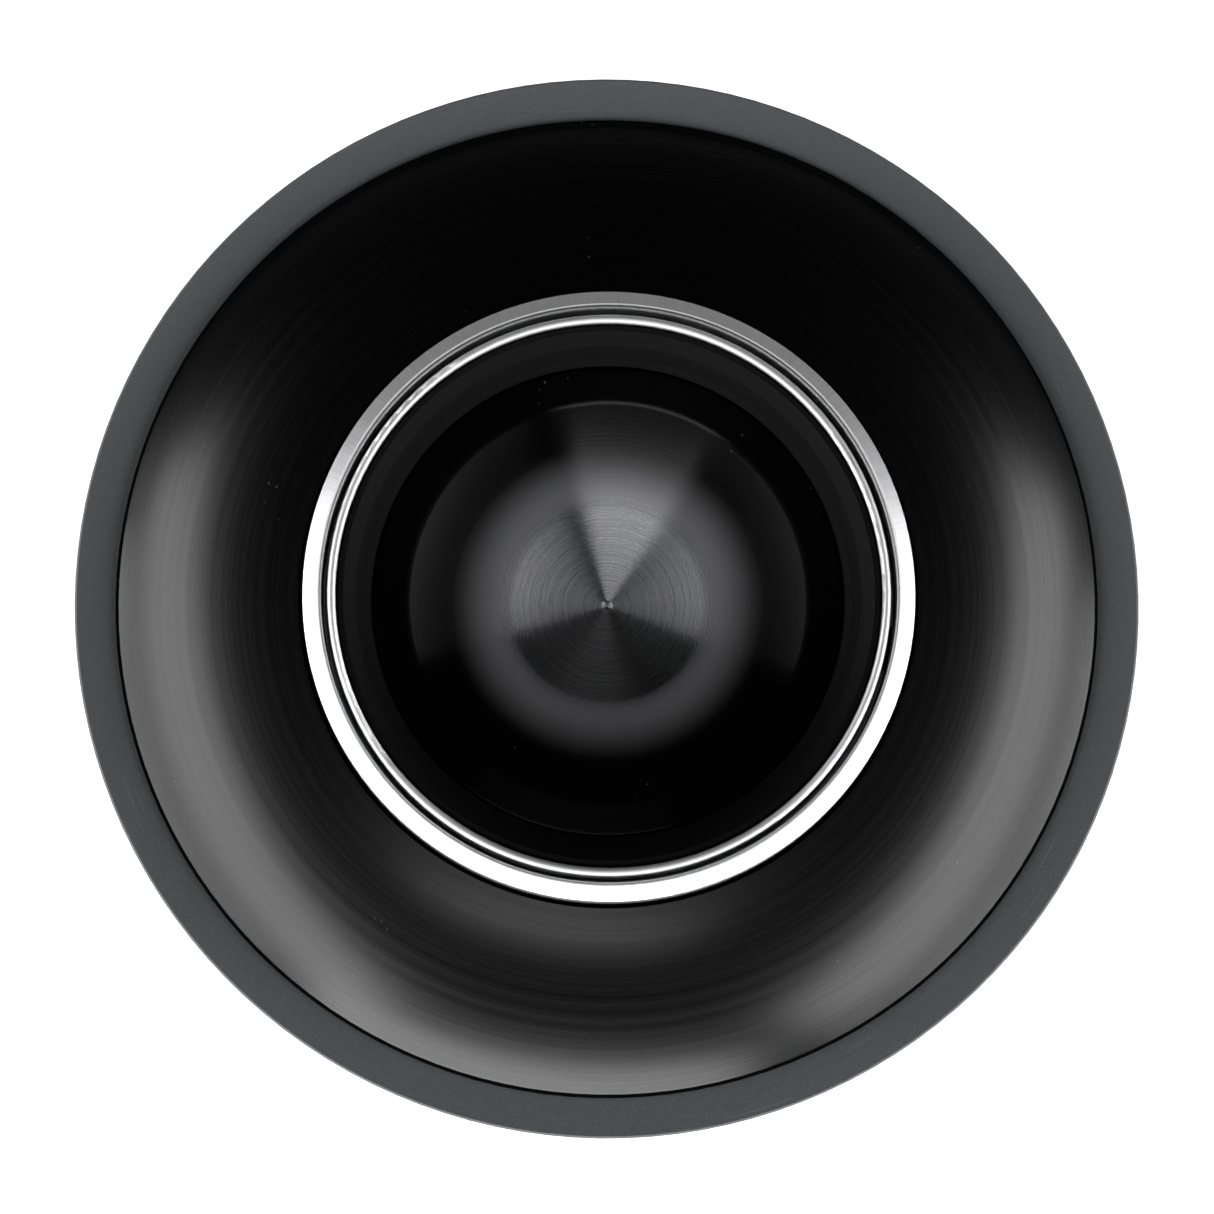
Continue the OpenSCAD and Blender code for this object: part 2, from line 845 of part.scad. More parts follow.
// Drain chamber: the cast wall below the turntable, with the port for the discharge tube.
module drain_chamber() {
    z_flange = z_chamber - drain_flange_t;
    color([0.55, 0.56, 0.58])
        difference() {
            union() {
                rotate_extrude()
                    polygon([
                        [drain_in, z_drain],
                        [drain_out, z_drain],
                        [drain_out, z_flange],
                        [flange_r, z_flange],
                        [flange_r, z_chamber],
                        [drain_lip, z_chamber],
                        [drain_lip, z_flange],
                        [drain_in, z_flange],
                    ]);
                along_y(drain_port_r - 1.5, drain_in + 1, y_port - 1, z = z_port);
                discharge_plate(drain_port_r, y_port - ear_t, y_port, port_bore, bolt_r);
            }
            along_y(port_bore, drain_in - 4, y_port + 1, z = z_port);
            around(6, chamber_out + flange_w / 2)
                translate([0, 0, z_flange - 1])
                    cylinder(h = drain_flange_t + 2, r = 2.4, $fn = 32);
        }
}

// Rubber gasket on the discharge port.
module discharge_gasket() {
    color([0.1, 0.1, 0.1])
        discharge_plate(drain_port_r, y_port, y_lip, port_bore, bolt_r + 0.2);
}

// Pressed steel flange that clamps the discharge tube.
module discharge_flange() {
    color([0.7, 0.7, 0.72])
        discharge_plate(drain_port_r, y_plate, y_plate + plate_t, tube_r + seat_gap, bolt_r + 0.2);
}

// Straight discharge tube with a lip behind the flange and a shoulder in front of it.
module discharge_tube() {
    neck_step = 0.3;
    color([0.06, 0.06, 0.06])
        difference() {
            union() {
                along_y(tube_r - neck_step, y_lip, y_plate + tube_l, z = z_port);
                along_y(tube_r, y_plate + plate_t + seat_gap, y_plate + tube_l, z = z_port);
                along_y(tube_r + lip_w, y_lip, y_lip + lip_t, z = z_port);
            }
            along_y(port_bore, y_lip - 1, y_plate + tube_l + 1, z = z_port);
        }
}

// Two bolts through the discharge flange into the port.
module discharge_bolts() {
    color([0.75, 0.75, 0.77])
        for (side = [-1, 1])
            translate([side * bolt_x, y_plate + plate_t, z_port])
                rotate([-90, 0, 0])
                    screw(bolt_r, plate_t + discharge_gasket_t + lip_t + ear_t - 1, 5, 4);
}

// Bronze sleeve bearing in the upper end frame.
module upper_bearing() {
    color([0.72, 0.5, 0.25])
        ring(shaft_r + run_gap, shaft_r + run_gap + bearing_wall, z_bell, z_bell + frame_t + 2);
}

// Bronze sleeve bearing in the lower end frame.
module lower_bearing() {
    color([0.72, 0.5, 0.25])
        ring(shaft_r + run_gap, shaft_r + run_gap + bearing_wall, z_frame - lower_boss_h + 3, z_motor + 2);
}

// Motor shaft, threaded for the nut at the top and with a hexagon socket at the bottom.
module motor_shaft() {
    socket_depth = 12;
    color([0.7, 0.7, 0.72])
        difference() {
            union() {
                translate([0, 0, z_shaft])
                    cylinder(h = z_table - z_shaft, r = shaft_r);
                translate([0, 0, z_table - eps])
                    cylinder(h = turntable_t + nut_h + 3, r = thread_r);
            }
            translate([0, 0, z_shaft - 1])
                cylinder(h = socket_depth + 1, r = wrench_af / sqrt(3), $fn = 6);
        }
}

// Laminated rotor core on the shaft.
module rotor_core() {
    color([0.45, 0.46, 0.48])
        difference() {
            ring(shaft_r, rotor_r, z_core, z_core + core_h);
            around(20, rotor_r - 0.2)
                translate([-1, -0.6, z_core - 1])
                    cube([3, 1.2, core_h + 2]);
        }
}

// Cast aluminium end rings of the rotor cage, with fan blades.
module rotor_fan_cage() {
    ring_h = 5;
    blade_h = 6;
    inner = rotor_r - 12;
    color([0.8, 0.8, 0.82]) {
        for (top = [0, 1]) {
            z_ring = top == 1 ? z_core + core_h : z_core - ring_h;
            z_blade = top == 1 ? z_ring + ring_h - eps : z_ring - blade_h + eps;
            union() {
                ring(inner, rotor_r - 1.5, z_ring, z_ring + ring_h);
                around(9, inner + 1)
                    translate([0, -0.8, z_blade])
                        cube([9, 1.6, blade_h]);
            }
        }
    }
}

// Laminated stator core with radial slots.
module stator_core() {
    slot_l = 15;
    color([0.5, 0.5, 0.52])
        difference() {
            ring(stator_in, core_r, z_core, z_core + core_h);
            around(slot_count, stator_in + 3)
                translate([0, -2.2, z_core - 1])
                    cube([slot_l, 4.4, core_h + 2]);
            around(slot_count, stator_in - 1)
                translate([0, -0.9, z_core - 1])
                    cube([6, 1.8, core_h + 2]);
        }
}

// One bundle of copper end windings, with its lower face at z0.
module winding(z0) {
    wall = winding_out - winding_in;
    round = min(winding_h, wall) * 0.35;
    color([0.72, 0.36, 0.16])
        translate([0, 0, z0])
            rotate_extrude() {
                translate([winding_in + round, 0])
                    square([wall - 2 * round, winding_h]);
                translate([winding_in, round])
                    square([wall, winding_h - 2 * round]);
                for (x = [winding_in + round, winding_out - round])
                    for (y = [round, winding_h - round])
                        translate([x, y])
                            circle(r = round, $fn = 32);
            }
}

module upper_windings() {
    winding(z_core + core_h);
}

module lower_windings() {
    winding(z_core - winding_h);
}

// Steel band around the motor, with cooling slots at both ends.
module motor_band() {
    vent_w = 6;
    vent_h = (motor_h - core_h) / 2 - 9;
    color([0.35, 0.36, 0.38])
        difference() {
            ring(band_r - band_wall, band_r, z_motor, z_bell);
            for (z = [z_motor + 4, z_bell - 4 - vent_h])
                around(12, band_r - band_wall - 2)
                    translate([0, -vent_w / 2, z])
                        cube([band_wall + 4, vent_w, vent_h]);
        }
}

// Lower end frame: bearing boss, ears for the through bolts, and legs for the bottom cover.
module lower_end_frame() {
    bearing_out = shaft_r + run_gap + bearing_wall;
    color([0.55, 0.56, 0.58])
        difference() {
            union() {
                translate([0, 0, z_frame])
                    cylinder(h = frame_t, r = band_r);
                translate([0, 0, z_frame - lower_boss_h])
                    cylinder(h = lower_boss_h + eps, r = lower_boss_r);
                around(4, through_r, start = 45)
                    translate([0, 0, z_frame])
                        cylinder(h = frame_t, r = through_ear_r, $fn = 48);
                for (a = leg_angles)
                    rotate([0, 0, a])
                        translate([leg_circle, 0, z_bay])
                            cylinder(h = bay_h + eps, r = leg_r, $fn = 48);
            }
            translate([0, 0, z_frame - lower_boss_h - 1])
                cylinder(h = frame_t + lower_boss_h + 2, r = shaft_r + 1);
            translate([0, 0, z_frame - lower_boss_h + 3])
                cylinder(h = frame_t + lower_boss_h, r = bearing_out);
            around(4, through_r, start = 45)
                translate([0, 0, z_frame - 1])
                    cylinder(h = frame_t + 2, r = through_bolt_r + 0.2, $fn = 32);
            for (a = leg_angles)
                rotate([0, 0, a])
                    translate([leg_circle, 0, z_bay - 1])
                        cylinder(h = 15, r = 1.9, $fn = 32);
            around(6, 46, start = 0)
                translate([0, 0, z_frame - 1])
                    cylinder(h = frame_t + 2, r = 7, $fn = 48);
        }
}

// Four long bolts that draw the two end frames together.
module through_bolts() {
    bolt_l = frame_t + motor_h + frame_t - 2;
    color([0.7, 0.7, 0.72])
        around(4, through_r, start = 45)
            translate([0, 0, z_frame])
                rotate([180, 0, 0])
                    screw(through_bolt_r, bolt_l, 5, 4);
}

// Centrifugal governor fixed to the shaft, with two flyweights.
module governor_hub() {
    color([0.75, 0.72, 0.6])
        difference() {
            union() {
                translate([0, 0, z_governor])
                    cylinder(h = governor_h, r = shaft_r + 4);
                for (a = [0, 180])
                    rotate([0, 0, a])
                        intersection() {
                            translate([0, -6, z_governor + 1])
                                cube([governor_r, 12, governor_h - 2]);
                            translate([0, 0, z_governor])
                                cylinder(h = governor_h, r = governor_r);
                        }
            }
            translate([0, 0, z_governor - 1])
                cylinder(h = governor_h + 2, r = shaft_r);
        }
}

// Sliding collar that the governor draws away from the start switch.
module governor_collar() {
    color([0.85, 0.82, 0.7])
        difference() {
            ring(shaft_r + run_gap, shaft_r + 6, z_collar, z_collar + collar_h);
            ring(shaft_r + 4.5, shaft_r + 7, z_collar + 1.6, z_collar + 3.4);
        }
}

// Start switch under the lower end frame, with its bent spring arm.
module start_switch() {
    x0 = governor_r + 3;
    arm_z = z_collar + collar_h / 2;
    color([0.45, 0.25, 0.12])
        union() {
            translate([x0, -8, z_governor])
                cube([17, 16, z_frame - z_governor]);
            translate([x0 + 4, -3, arm_z - 3])
                cube([1.2, 6, z_governor - arm_z + 4]);
            translate([shaft_r + 7, -3, arm_z - 3])
                cube([x0 - shaft_r - 2, 6, 1.2]);
        }
}

// Start capacitor lying across the bay, with two terminals.
module start_capacitor() {
    color([0.1, 0.1, 0.11])
        union() {
            along_x(capacitor_r, -capacitor_l / 2, capacitor_l / 2, y = capacitor_y, z = z_capacitor);
            for (dy = [-5, 5])
                translate([capacitor_l / 2 - eps, capacitor_y + dy - 0.4, z_capacitor - 3])
                    cube([6, 0.8, 6]);
        }
}

// Steel strap that holds the capacitor down.
module capacitor_clip() {
    color([0.72, 0.72, 0.74])
        difference() {
            union() {
                along_x(capacitor_r + clip_t, -clip_w / 2, clip_w / 2, y = capacitor_y, z = z_capacitor);
                translate([-clip_w / 2, capacitor_y - 5, z_bay])
                    cube([clip_w, 10, 5]);
            }
            along_x(capacitor_r, -clip_w, clip_w, y = capacitor_y, z = z_capacitor);
        }
}

// Overload protector with the guide and the cavity of the reset button.
module overload_protector() {
    z0 = z_bay + seat_gap;
    color([0.12, 0.12, 0.13])
        difference() {
            translate([overload_at[0] - overload_size[0] / 2, overload_at[1] - overload_size[1] / 2, z0])
                cube(overload_size);
            translate([overload_at[0], overload_at[1], z0 - 1])
                cylinder(h = button_floor_t + 2, r = button_r + run_gap);
            translate([overload_at[0], overload_at[1], z_button_floor])
                cylinder(h = button_cavity_h, r = button_cavity_r);
        }
}

// Red reset button, reached from under the bottom cover.
module reset_button() {
    tip_z = 1;
    stem_l = 5;
    color([0.75, 0.05, 0.04])
        translate([overload_at[0], overload_at[1], 0])
            union() {
                translate([0, 0, tip_z])
                    cylinder(h = z_button_floor - tip_z + eps + 0.05, r = button_r);
                translate([0, 0, z_button_floor + 0.05])
                    cylinder(h = button_head_t, r = button_cavity_r - 0.5);
                translate([0, 0, z_button_floor + 0.05])
                    cylinder(h = button_head_t + stem_l, r = button_r - 1.6);
            }
}

// Helix of wire as one solid: rings of points swept along the turns.
module reset_spring() {
    z0 = z_button_floor + 0.05 + button_head_t + spring_wire_r + 0.02;
    z1 = z_button_floor + button_cavity_h - spring_wire_r - 0.02;
    sides = 8;
    steps = 24 * spring_turns;
    pitch_rise = (z1 - z0) / steps;
    points = [
        for (i = [0 : steps])
            for (k = [0 : sides - 1])
                let (
                    a = i * 360 * spring_turns / steps,
                    b = k * 360 / sides,
                    r = spring_r + spring_wire_r * cos(b)
                )
                [r * cos(a), r * sin(a), z0 + i * pitch_rise + spring_wire_r * sin(b)]
    ];
    walls = [
        for (i = [0 : steps - 1])
            for (k = [0 : sides - 1])
                let (n = (k + 1) % sides)
                [i * sides + k, i * sides + n, (i + 1) * sides + n, (i + 1) * sides + k]
    ];
    start_cap = [[for (k = [0 : sides - 1]) sides - 1 - k]];
    end_cap = [[for (k = [0 : sides - 1]) steps * sides + k]];
    color([0.7, 0.7, 0.72])
        translate([overload_at[0], overload_at[1], 0])
            polyhedron(points = points, faces = concat(walls, start_cap, end_cap), convexity = 6);
}

// Terminal block for the supply wires.
module terminal_block() {
    color([0.85, 0.84, 0.8])
        translate([block_at[0], block_at[1], z_bay + seat_gap])
            difference() {
                translate([-block_size[0] / 2, -block_size[1] / 2, 0])
                    cube(block_size);
                for (i = [-1 : 1])
                    translate([i * 8, 3, block_size[2] - 5])
                        cylinder(h = 6, r = 2.6, $fn = 32);
                for (i = [-1 : 1])
                    translate([i * 8 - 2.5, -block_size[1] / 2 - 1, 3])
                        cube([5, 8, 5]);
            }
}

// Three brass clamping screws in the terminal block.
module terminal_screws() {
    color([0.8, 0.65, 0.3])
        for (i = [-1 : 1])
            translate([block_at[0] + i * 8, block_at[1] + 3, z_bay + seat_gap + block_size[2] - 5])
                screw(1.2, 0, 2.4, 3.6);
}

// Green earthing screw in the bottom cover.
module ground_screw() {
    color([0.05, 0.45, 0.15])
        translate([22, -46, z_bay])
            screw(1.9, cover_t - 0.4, 4.2, 2.6);
}

// Bushing for the supply cable in the lower shell's wall.
module cable_bushing() {
    x0 = waist_in - bushing_flange_t;
    color([0.07, 0.07, 0.07])
        difference() {
            union() {
                along_x(bushing_r, x0, waist_r + bushing_flange_t, z = z_bushing);
                along_x(bushing_flange_r, waist_r + 0.1, waist_r + bushing_flange_t, z = z_bushing);
                along_x(bushing_flange_r, x0 - 0.8, x0 + 1.2, z = z_bushing);
            }
            along_x(cable_r, x0 - 2, waist_r + bushing_flange_t + 1, z = z_bushing);
        }
}

// Bottom cover: plate, rim that the disposal stands on, and the guide of the wrench hole.
module bottom_cover() {
    cover_r = waist_in - 0.5;
    rim_w = 7;
    rim_h = 16;
    color([0.1, 0.1, 0.11])
        difference() {
            union() {
                translate([0, 0, cover_lift])
                    cylinder(h = cover_t, r = cover_r);
                ring(cover_r - rim_w, cover_r, 0, cover_lift + eps);
                ring(cover_r - 2.5, cover_r, z_bay - eps, rim_h);
                cylinder(h = z_bay + 2, r = wrench_r + boss_wall);
            }
            translate([0, 0, -1])
                cylinder(h = z_bay + 4, r = wrench_r);
            translate([overload_at[0], overload_at[1], -1])
                cylinder(h = z_bay + 2, r = button_r + 1);
            for (a = leg_angles)
                rotate([0, 0, a])
                    translate([leg_circle, 0, -1])
                        cylinder(h = z_bay + 2, r = 2.1, $fn = 32);
            translate([22, -46, -1])
                cylinder(h = z_bay + 2, r = 1.9, $fn = 32);
        }
}

// Three screws that hold the bottom cover to the legs.
module cover_screws() {
    color([0.7, 0.7, 0.72])
        for (a = leg_angles)
            rotate([0, 0, a])
                translate([leg_circle, 0, cover_lift])
                    rotate([180, 0, 0])
                        screw(1.9, 14, 4, 2.4);
}

stopper();
stopper_seal();
splash_guard();
lock_ring();
snap_ring();
mount_cushion();
upper_shell();
rim_shell();
lower_shell();
sound_jacket();
grind_chamber();
chamber_gasket();
chamber_screws();
dishwasher_inlet();
inlet_knockout();
shredder_ring();
turntable();
impeller_left();
impeller_right();
impeller_rivets();
turntable_nut();
slinger();
shaft_seal();
end_bell();
drain_chamber();
discharge_gasket();
discharge_flange();
discharge_tube();
discharge_bolts();
upper_bearing();
lower_bearing();
motor_shaft();
rotor_core();
rotor_fan_cage();
stator_core();
upper_windings();
lower_windings();
motor_band();
lower_end_frame();
through_bolts();
governor_hub();
governor_collar();
start_switch();
start_capacitor();
capacitor_clip();
overload_protector();
reset_button();
reset_spring();
terminal_block();
terminal_screws();
ground_screw();
cable_bushing();
bottom_cover();
cover_screws();
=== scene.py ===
"""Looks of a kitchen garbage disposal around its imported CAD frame.

The disposal stands on its bottom cover. Metres, +Z up, the motor axis is the Z axis, and the
discharge tube points along +Y. The stopper is turned again here with a fine profile; every other
piece carries a procedural material on its CAD mesh.
"""

import logging
import math
from dataclasses import dataclass, field
from enum import Enum

import bmesh
import bpy
from mathutils import Matrix, Vector


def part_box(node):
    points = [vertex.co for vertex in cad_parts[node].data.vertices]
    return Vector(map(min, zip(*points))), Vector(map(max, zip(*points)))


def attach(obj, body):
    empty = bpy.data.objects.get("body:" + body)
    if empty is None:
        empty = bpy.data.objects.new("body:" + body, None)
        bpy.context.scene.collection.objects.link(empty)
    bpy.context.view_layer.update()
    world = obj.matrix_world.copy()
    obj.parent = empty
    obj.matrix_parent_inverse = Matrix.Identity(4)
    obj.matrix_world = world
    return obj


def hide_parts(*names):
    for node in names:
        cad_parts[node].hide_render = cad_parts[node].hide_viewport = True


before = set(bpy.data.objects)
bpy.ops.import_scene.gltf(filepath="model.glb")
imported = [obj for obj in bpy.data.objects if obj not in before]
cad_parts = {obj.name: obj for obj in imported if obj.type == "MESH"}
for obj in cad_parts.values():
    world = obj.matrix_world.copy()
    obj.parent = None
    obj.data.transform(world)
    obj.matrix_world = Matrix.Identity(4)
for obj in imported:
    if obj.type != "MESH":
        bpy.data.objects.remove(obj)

LOG = logging.getLogger("disposal")
MM = 0.001


# ---------------------------------------------------------------------------------------------
# Profiles and turned pieces
# ---------------------------------------------------------------------------------------------


@dataclass(frozen=True)
class Corner:
    """One corner of a profile: radius and height in metres, and the radius that rounds it."""

    r: float
    z: float
    fillet: float = 0.0


@dataclass(frozen=True)
class Arc:
    """A stretch of circle in a profile, from one angle to another, in degrees."""

    r: float
    z: float
    radius: float
    start: float
    end: float


def arc_points(arc: Arc, step: float) -> list[Vector]:
    """Points along an arc.

    Args:
        arc: The arc, with its centre in the (r, z) plane.
        step: Longest distance between two points, in metres.

    Returns:
        The points, both ends included.
    """
    sweep = math.radians(arc.end - arc.start)
    count = max(3, math.ceil(abs(sweep) * arc.radius / step))
    angles = [math.radians(arc.start) + sweep * i / count for i in range(count + 1)]
    return [Vector((arc.r + arc.radius * math.cos(a), arc.z + arc.radius * math.sin(a))) for a in angles]


def rounded(before: Vector, corner: Corner, after: Vector, segments: int = 6) -> list[Vector]:
    """The points that replace a corner by its fillet.

    Args:
        before: The point before the corner.
        corner: The corner with its fillet radius.
        after: The point after the corner.
        segments: Number of straight steps in the fillet.

    Returns:
        The fillet's points, or the corner itself where it has no fillet.
    """
    here = Vector((corner.r, corner.z))
    into, out = (before - here).normalized(), (after - here).normalized()
    turn = math.acos(max(-1.0, min(1.0, into.dot(out))))
    if corner.fillet <= 0 or turn > math.pi - 0.02:
        return [here]
    reach = min(corner.fillet / math.tan(turn / 2), 0.45 * (before - here).length, 0.45 * (after - here).length)
    radius = reach * math.tan(turn / 2)
    centre = here + (into + out).normalized() * (radius / math.sin(turn / 2))
    first, last = here + into * reach - centre, here + out * reach - centre
    sweep = first.angle_signed(last)
    spins = [Matrix.Rotation(-sweep * i / segments, 2) for i in range(segments + 1)]
    return [centre + spin @ first for spin in spins]


@dataclass
class Profile:
    """A closed outline in the (r, z) plane that is turned about the Z axis."""

    parts: list[Corner | Arc]
    step: float = 1.2 * MM

    def points(self) -> list[Vector]:
        """The outline's points in order, with straight stretches divided evenly."""
        ends = [self._end(part, 0) for part in self.parts]
        outline: list[Vector] = []
        for i, part in enumerate(self.parts):
            if isinstance(part, Arc):
                outline += arc_points(part, self.step)
            else:
                before = self._end(self.parts[i - 1], -1)
                after = ends[(i + 1) % len(ends)]
                outline += rounded(before, part, after)
        return self._divided(outline)

    @staticmethod
    def _end(part: Corner | Arc, which: int) -> Vector:
        """A part's first (0) or last (-1) point."""
        return Vector((part.r, part.z)) if isinstance(part, Corner) else arc_points(part, 1.0)[which]

    def _divided(self, outline: list[Vector]) -> list[Vector]:
        """The outline with every long stretch cut into steps."""
        points: list[Vector] = []
        for here, after in zip(outline, outline[1:] + outline[:1]):
            length = (after - here).length
            if length < 1e-7:
                continue
            count = max(1, math.ceil(length / self.step))
            points += [here.lerp(after, i / count) for i in range(count)]
        return points


def turned(name: str, profile: Profile, steps: int = 256) -> bpy.types.Object:
    """A piece turned about the Z axis.

    Args:
        name: The piece's name.
        profile: Its closed outline.
        steps: Number of steps round the circle.

    Returns:
        The new object, at the origin, with smooth faces and sharp corners kept sharp.
    """
    mesh = bmesh.new()
    verts = [mesh.verts.new((p.x, 0.0, p.y)) for p in profile.points()]
    edges = [mesh.edges.new(pair) for pair in zip(verts, verts[1:] + verts[:1])]
    edges = [e for e in edges if max(abs(v.co.x) for v in e.verts) > 1e-7]
    bmesh.ops.spin(
        mesh,
        geom=verts + edges,
        cent=(0, 0, 0),
        axis=(0, 0, 1),
        angle=math.tau,
        steps=steps,
        use_merge=True,
    )
    bmesh.ops.remove_doubles(mesh, verts=mesh.verts, dist=1e-7)
    loose = [e for e in mesh.edges if not e.link_faces]
    bmesh.ops.delete(mesh, geom=loose, context="EDGES")
    bmesh.ops.recalc_face_normals(mesh, faces=mesh.faces)
    return as_object(name, mesh)


def as_object(name: str, mesh: bmesh.types.BMesh, sharp: float = 32.0) -> bpy.types.Object:
    """Turns a bmesh into an object of the scene.

    Args:
        name: The object's name.
        mesh: The bmesh, which is freed.
        sharp: Angle in degrees above which an edge stays sharp.

    Returns:
        The new object.
    """
    limit = math.radians(sharp)
    for face in mesh.faces:
        face.smooth = True
    for edge in mesh.edges:
        edge.smooth = len(edge.link_faces) == 2 and edge.calc_face_angle(0.0) < limit
    data = bpy.data.meshes.new(name)
    mesh.to_mesh(data)
    mesh.free()
    piece = bpy.data.objects.new(name, data)
    bpy.context.scene.collection.objects.link(piece)
    return piece


# ---------------------------------------------------------------------------------------------
# Shader building
# ---------------------------------------------------------------------------------------------


class Kind(Enum):
    """Socket types of the shared effects."""

    VALUE = "NodeSocketFloat"
    COLOUR = "NodeSocketColor"
    VECTOR = "NodeSocketVector"


class Graph:
    """A small helper that adds nodes to one node tree and links them."""

    def __init__(self, tree: bpy.types.NodeTree) -> None:
        """Keeps the tree that nodes are added to."""
        self.tree = tree

    def node(self, kind: str, settings: dict | None = None, **inputs: object) -> bpy.types.Node:
        """Adds a node.

        Args:
            kind: The node's class name.
            settings: Properties to set on the node.
            **inputs: Values or sockets by input name, with underscores for spaces.

        Returns:
            The new node.
        """
        made = self.tree.nodes.new(kind)
        for key, value in (settings or {}).items():
            setattr(made, key, value)
        for key, value in inputs.items():
            self.feed(made, key.replace("_", " "), value)
        return made

    def feed(self, node: bpy.types.Node, socket: str | int, value: object) -> None:
        """Links a socket to a node's input, or sets its value."""
        target = node.inputs[socket]
        if isinstance(value, bpy.types.NodeSocket):
            self.tree.links.new(value, target)
        else:
            target.default_value = value

    def math(self, operation: str, first: object, second: object = 0.0, clamp: bool = False) -> bpy.types.NodeSocket:
        """One arithmetic step, with its result."""
        made = self.tree.nodes.new("ShaderNodeMath")
        made.operation = operation
        made.use_clamp = clamp
        self.feed(made, 0, first)
        self.feed(made, 1, second)
        return made.outputs[0]

    def mix(self, factor: object, first: object, second: object) -> bpy.types.NodeSocket:
        """A blend of two colours."""
        made = self.tree.nodes.new("ShaderNodeMix")
        made.data_type = "RGBA"
        self.feed(made, 0, factor)
        self.feed(made, 6, first)
        self.feed(made, 7, second)
        return made.outputs[2]

    def remap(self, value: object, low: float, high: float, to_low: float = 0.0, to_high: float = 1.0) -> bpy.types.NodeSocket:
        """A value carried from one range to another, clamped."""
        made = self.tree.nodes.new("ShaderNodeMapRange")
        for socket, number in enumerate((value, low, high, to_low, to_high)):
            self.feed(made, socket, number)
        return made.outputs[0]

    def polar(self) -> tuple[bpy.types.NodeSocket, bpy.types.NodeSocket, bpy.types.NodeSocket]:
        """Radius, angle in turns and height of the shaded point, in the piece's own coordinates."""
        place = self.node("ShaderNodeTexCoord").outputs["Object"]
        split = self.node("ShaderNodeSeparateXYZ", Vector=place)
        x, y, z = split.outputs
        squares = self.math("ADD", self.math("MULTIPLY", x, x), self.math("MULTIPLY", y, y))
        angle = self.math("DIVIDE", self.math("ARCTAN2", y, x), math.tau)
        return self.math("SQRT", squares), angle, z

    def noise(self, vector: bpy.types.NodeSocket, scale: float, detail: float = 3.0, rough: float = 0.55) -> bpy.types.NodeSocket:
        """Noise at a place, from 0 to 1."""
        made = self.node("ShaderNodeTexNoise", Vector=vector, Scale=scale, Detail=detail, Roughness=rough)
        return made.outputs[0]

    def vector(self, x: object, y: object, z: object) -> bpy.types.NodeSocket:
        """A vector from three numbers."""
        return self.node("ShaderNodeCombineXYZ", X=x, Y=y, Z=z).outputs[0]


class Effect:
    """A node group that puts out colours, masks, values or normals. Subclasses build it once."""

    name = "effect"
    inputs: dict[str, tuple[Kind, float]] = {}
    outputs: dict[str, Kind] = {}

    @classmethod
    def group(cls) -> bpy.types.NodeTree:
        """The group, built the first time that it is asked for."""
        found = bpy.data.node_groups.get(cls.name)
        if found is not None:
            return found
        tree = bpy.data.node_groups.new(cls.name, "ShaderNodeTree")
        for label, (kind, default) in cls.inputs.items():
            socket = tree.interface.new_socket(label, in_out="INPUT", socket_type=kind.value)
            socket.default_value = default
        for label, kind in cls.outputs.items():
            tree.interface.new_socket(label, in_out="OUTPUT", socket_type=kind.value)
        graph = Graph(tree)
        source, sink = graph.node("NodeGroupInput"), graph.node("NodeGroupOutput")
        for label, value in cls.build(graph, source.outputs).items():
            graph.feed(sink, label, value)
        return tree

    @classmethod
    def build(cls, graph: Graph, given: bpy.types.NodeOutputs) -> dict[str, object]:
        """Adds the effect's nodes and returns a value for each output."""
        raise NotImplementedError

    @classmethod
    def use(cls, graph: Graph, **values: object) -> bpy.types.NodeOutputs:
        """Places the group in a material, with inputs by name and underscores for spaces."""
        made = graph.node("ShaderNodeGroup", {"node_tree": cls.group()})
        for key, value in values.items():
            graph.feed(made, key.replace("_", " "), value)
        return made.outputs


class TurningMarks(Effect):
    """Concentric rings left by a lathe, uneven in width and depth."""

    name = "turning_marks"
    inputs = {"Rings per metre": (Kind.VALUE, 2500.0), "Unevenness": (Kind.VALUE, 0.5)}
    outputs = {"Height": Kind.VALUE, "Mask": Kind.VALUE}

    @classmethod
    def build(cls, graph: Graph, given: bpy.types.NodeOutputs) -> dict[str, object]:
        """Noise along the radius only, with a slow drift round the circle."""
        radius, angle, _ = graph.polar()
        drift = graph.math("MULTIPLY", graph.math("SINE", graph.math("MULTIPLY", angle, math.tau)), 0.15)
        along = graph.math("ADD", graph.math("MULTIPLY", radius, given["Rings per metre"]), drift)
        fine = graph.noise(graph.vector(along, 0.0, 0.0), 1.0, 2.0, 0.7)
        coarse = graph.noise(graph.vector(graph.math("MULTIPLY", along, 0.13), 0.0, 3.0), 1.0, 1.0)
        height = graph.math("ADD", fine, graph.math("MULTIPLY", coarse, given["Unevenness"]))
        return {"Height": height, "Mask": graph.remap(fine, 0.35, 0.7)}


class Speckle(Effect):
    """Fine bright and dark grains, as on a moulded matte surface."""

    name = "speckle"
    inputs = {"Scale": (Kind.VALUE, 2500.0)}
    outputs = {"Grain": Kind.VALUE, "Patches": Kind.VALUE}

    @classmethod
    def build(cls, graph: Graph, given: bpy.types.NodeOutputs) -> dict[str, object]:
        """Two noises, one near the size of a grain and one of slow patches."""
        place = graph.node("ShaderNodeTexCoord").outputs["Object"]
        grain = graph.node("ShaderNodeTexNoise", Vector=place, Scale=given["Scale"], Detail=4.0, Roughness=0.8)
        patches = graph.noise(place, 45.0, 4.0, 0.6)
        return {"Grain": grain.outputs[0], "Patches": patches}


